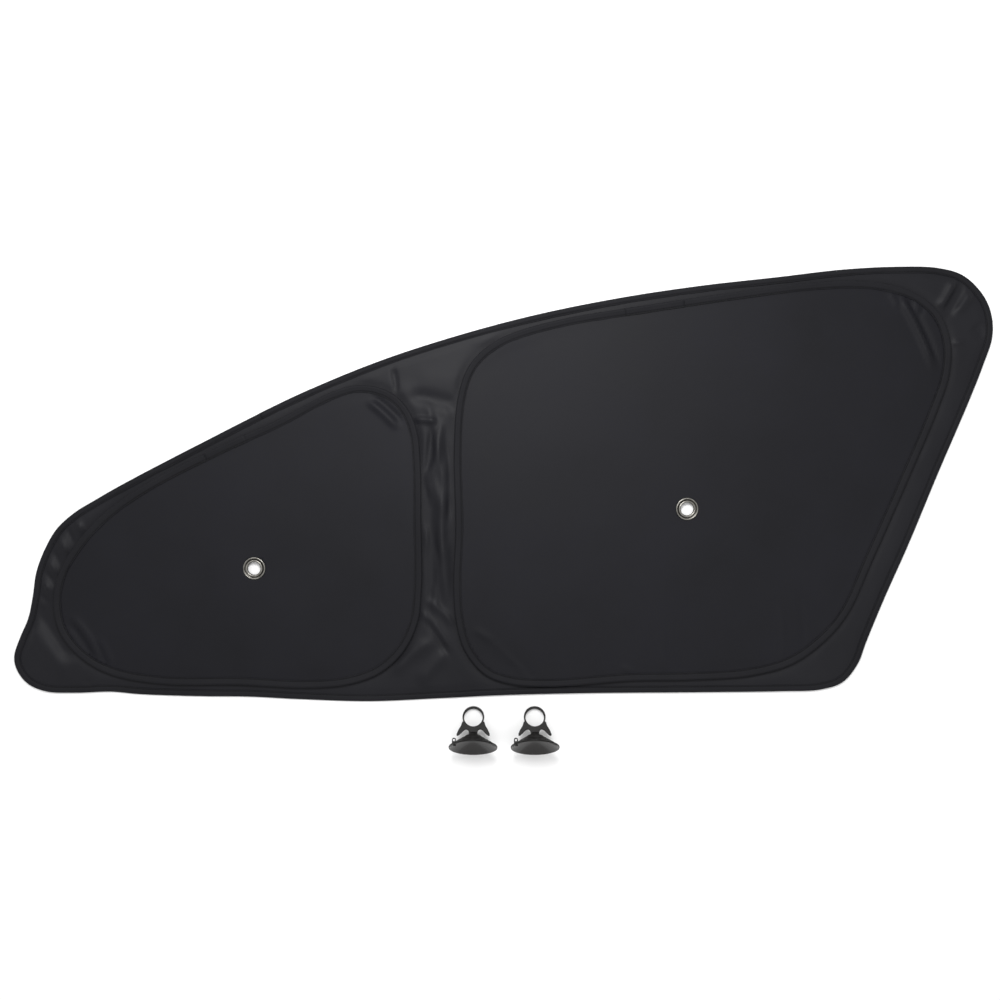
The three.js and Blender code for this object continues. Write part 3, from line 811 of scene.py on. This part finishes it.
# The rear barrel was set a little out of round
for name, wobble in (("front", 0.004), ("rear", 0.014)):
    low, high = (np.array(c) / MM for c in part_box(f"{name}_eyelet_barrel"))
    centre = ((low[0] + high[0]) / 2, (low[1] + high[1]) / 2, PANEL_LEVEL)
    washer = lathe_piece(f"{name}_washer", WASHER_PROFILE, centre, 0.0, washer_recess)
    barrel = lathe_piece(f"{name}_barrel", BARREL_PROFILE, centre, wobble, barrel_recess)
    finish_piece(washer, "nickel_plate", f"{name}_eyelet_washer")
    finish_piece(barrel, "nickel_plate", f"{name}_eyelet_barrel")

# Suction cups, each a single moulding

CUP_RADIUS = 24.0
HOLLOW_RADIUS, HOLLOW_DEPTH, HOLLOW_POWER = 23.2, 10.5, 1.6
# The outside: a rim, then steps that go in and up
RIM_HEIGHT, STEPS, STEP_WIDTH, STEP_RISE = 1.2, 5, 3.9, 2.6
# The pull tab on the rim: its middle, top and half width, and its hole
TAB_X, TAB_Z, TAB_RADIUS, TAB_FOOT, TAB_THICKNESS = -18.8, 8.5, 2, 2.0, 1.5
TAB_HOLE_Z, TAB_HOLE = 8.1, 1.3
# Grid on which a cup's parts are joined
CUP_VOXEL = 0.3
HANDLE_THICKNESS = 2.5
# Right half of the neck and wing, up its outside and then back under the ring
HANDLE_OUTLINE = [
    (4.2, 10.5), (4.2, 15.6), (4.9, 18), (7, 19.2), (9.2, 18.1), (12.2, 14.9), (14.4, 13.0), (15.4, 12.5),
    (16.3, 12.9), (16.4, 14.1), (14.6, 18.4), (12.2, 22.4), (11, 26.2),
    (9.6, 27.2), (8.2, 24.6), (6.0, 22.6), (3.0, 21.5), (0, 21.2),
]
RING_CENTRE, RING_RADIUS, RING_HOLE_CENTRE, RING_HOLE = 31.6, 10.8, 31.0, 9.2
CUP_TILT = math.atan2(CUP_RADIUS - HANDLE_THICKNESS / 2, RING_CENTRE + RING_RADIUS - 1.2)


def hollow_height(share):
    """The hollow's height at a share of its radius."""
    return HOLLOW_DEPTH * (1 - share ** HOLLOW_POWER)


def bell_mesh():
    """Stepped cone over a smooth hollow, as vertices and faces about +Z."""
    profile = [(0.01, HOLLOW_DEPTH)]
    profile += [(s * HOLLOW_RADIUS, hollow_height(s)) for s in np.linspace(0.1, 0.96, 9)]
    profile += [(23.3, 0.0), (23.9, 0.1), (CUP_RADIUS, RIM_HEIGHT)]
    for i in range(STEPS):
        radius, low = CUP_RADIUS - i * STEP_WIDTH, RIM_HEIGHT + i * STEP_RISE
        profile += [(radius - 0.25, low + 0.25), (radius - 3.4, low + 1.65), (radius - 3.75, low + 1.9),
                    (radius - STEP_WIDTH, low + 2.5)]
    profile += [(4.2, 14.4), (3.2, 15.2), (1.8, 15.6), (0.01, 15.7)]
    angles = np.linspace(0, 2 * math.pi, ROUND_SIDES, endpoint=False)
    vertices = [(r * math.cos(a), r * math.sin(a), z) for a in angles for r, z in profile]
    n = len(profile)
    faces = []
    for i in range(ROUND_SIDES):
        k = (i + 1) % ROUND_SIDES
        faces += [(i * n + j, k * n + j, k * n + j + 1, i * n + j + 1) for j in range(n - 1)]
    faces.append(tuple(i * n for i in range(ROUND_SIDES)))
    faces.append(tuple(i * n + n - 1 for i in reversed(range(ROUND_SIDES))))
    return vertices, faces


def plate_mesh(outline, hole, thickness):
    """An outline in XZ with one round hole, given its thickness along Y, built as a ring of quads."""
    outline = np.array(outline)
    centre = np.array(hole[0])
    angles = np.arctan2(outline[:, 1] - centre[1], outline[:, 0] - centre[0])
    inner = centre + hole[1] * np.column_stack([np.cos(angles), np.sin(angles)])
    n = len(outline)
    vertices = [(x, y, z) for y in (-thickness / 2, thickness / 2)
                for ring in (outline, inner) for x, z in ring]
    faces = []
    for i in range(n):
        k = (i + 1) % n
        faces += [(i, k, n + k, n + i), (2 * n + i, 3 * n + i, 3 * n + k, 2 * n + k),
                  (i, 2 * n + i, 2 * n + k, k), (n + i, n + k, 3 * n + k, 3 * n + i)]
    return vertices, faces


def handle_meshes():
    """The ring with its hole, the neck and wings below it, and the pull tab."""
    ring = [(RING_RADIUS * math.cos(a), RING_CENTRE + RING_RADIUS * math.sin(a))
            for a in np.linspace(0, 2 * math.pi, ROUND_SIDES, endpoint=False)]
    ring_part = plate_mesh(ring, ((0, RING_HOLE_CENTRE), RING_HOLE), HANDLE_THICKNESS)
    outline = HANDLE_OUTLINE + [(-x, z) for x, z in HANDLE_OUTLINE[:-1]][::-1]
    n = len(outline)
    vertices = [(x, y, z) for y in (-HANDLE_THICKNESS / 2, HANDLE_THICKNESS / 2) for x, z in outline]
    faces = [tuple(range(n)), tuple(range(2 * n - 1, n - 1, -1))]
    faces += [(i, n + i, n + (i + 1) % n, (i + 1) % n) for i in range(n)]
    tab = [(TAB_X - TAB_RADIUS, TAB_FOOT), (TAB_X + TAB_RADIUS, TAB_FOOT)]
    tab += [(TAB_X + TAB_RADIUS * math.cos(a), TAB_Z + TAB_RADIUS * math.sin(a))
            for a in np.linspace(0, math.pi, 13)]
    tab_part = plate_mesh(tab, ((TAB_X, TAB_HOLE_Z), TAB_HOLE), TAB_THICKNESS)
    return [ring_part, (vertices, faces), tab_part]


def suction_cup(name, node):
    """All solids joined by a fine voxel remesh, smoothed, then laid on the CAD cup's place."""
    vertices, faces = [], []
    for part_vertices, part_faces in [bell_mesh(), *handle_meshes()]:
        base = len(vertices)
        vertices += part_vertices
        faces += [tuple(base + i for i in f) for f in part_faces]
    piece = orient(new_object(name, np.array(vertices) * MM, faces, pvc))
    remesh = piece.modifiers.new("join", "REMESH")
    remesh.mode = "VOXEL"
    remesh.voxel_size = CUP_VOXEL * MM
    remesh.use_smooth_shade = True
    apply_modifier(piece, remesh)
    relax = piece.modifiers.new("soften", "SMOOTH")
    relax.factor = 0.5
    relax.iterations = 2
    apply_modifier(piece, relax)
    flat = np.empty(len(piece.data.vertices) * 3)
    piece.data.vertices.foreach_get("co", flat)
    p = flat.reshape(-1, 3)
    piece.data.materials.append(hollow_pvc)
    for face in piece.data.polygons:
        x, y, z = np.array(face.center) / MM
        share = math.hypot(x, y) / HOLLOW_RADIUS
        face.material_index = int(share < 1 and z < hollow_height(share) + 0.5)
    angle = -math.pi / 2 - CUP_TILT
    c, s = math.cos(angle), math.sin(angle)
    p = np.column_stack([p[:, 0], p[:, 1] * c - p[:, 2] * s, p[:, 1] * s + p[:, 2] * c])
    low, high = (np.array(v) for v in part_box(node))
    p += np.array([(low[0] + high[0]) / 2 - (p[:, 0].min() + p[:, 0].max()) / 2,
                   low[1] - p[:, 1].min(), low[2] - p[:, 2].min()])
    piece.data.vertices.foreach_set("co", p.ravel())
    piece.data.update()
    return finish_piece(piece, "soft_pvc", node)


for number in (1, 2):
    suction_cup(f"cup_{number}", f"suction_cup_{number}")

# The wires and sleeves stay as the CAD made them, inside the bindings

for name in ("front", "rear"):
    for node in (f"{name}_hoop_wire", f"{name}_hoop_sleeve"):
        metal = frame["nodes"][node]
        metal.data.materials.clear()
        metal.data.materials.append(steel)

# Floor, light and camera

FLOOR_HALF = 4.0
FLOOR_DROP = 0.0002
WORLD_STRENGTH = 0.8


def pale_floor():
    """Plain white ground that keeps the object's shadow."""
    material, shader = new_material("pale_ground")
    set_shader(shader, Base_Color=linear("#fafafa"), Roughness=1.0, Specular_IOR_Level=0.0)
    half = FLOOR_HALF
    floor = new_object("floor", [(-half, -half, 0), (half, -half, 0), (half, half, 0), (-half, half, 0)],
                       [(0, 1, 2, 3)], material, smooth=False)
    floor.location.z = -FLOOR_DROP


pale_floor()


def area_lamp(name, place, size, power, target=(0, 0, 0)):
    """A round lamp turned to its target, its size in metres and its power in watts."""
    lamp = bpy.data.lights.new(name, "AREA")
    lamp.shape = "DISK"
    lamp.size = size
    lamp.energy = power
    made = bpy.data.objects.new(name, lamp)
    bpy.context.scene.collection.objects.link(made)
    made.location = place
    direction = np.array(target) - np.array(place)
    made.rotation_euler = (math.atan2(math.hypot(direction[0], direction[1]), -direction[2]), 0,
                           math.atan2(direction[1], direction[0]) - math.pi / 2)


area_lamp("key", (-0.9, 0.9, 1.4), size=0.7, power=4)
area_lamp("overhead", (-0.02, 0.42, 0.8), size=0.36, power=6.5, target=(-0.02, 0.3, 0))
area_lamp("fill", (1.0, -0.7, 1.8), size=1.2, power=3)

world = bpy.data.worlds.new("studio")
bpy.context.scene.world = world
world.use_nodes = True
world.node_tree.nodes["Background"].inputs["Color"].default_value = (1, 1, 1, 1)
world.node_tree.nodes["Background"].inputs["Strength"].default_value = WORLD_STRENGTH

# What the photo shows: its middle in the outlines' millimetres, and its width
PHOTO_CENTRE = np.array([-4.0, -16.0])
PHOTO_SPAN = 1000.0
LENS, SENSOR = 40.0, 36.0
camera_data = bpy.data.cameras.new("camera")
camera_data.lens = LENS
camera_data.sensor_width = SENSOR
camera = bpy.data.objects.new("camera", camera_data)
bpy.context.scene.collection.objects.link(camera)
camera.location = (*((PHOTO_CENTRE + SHIFT) * MM), PHOTO_SPAN * MM * LENS / SENSOR)
bpy.context.scene.camera = camera
bpy.context.scene.view_settings.view_transform = "Standard"
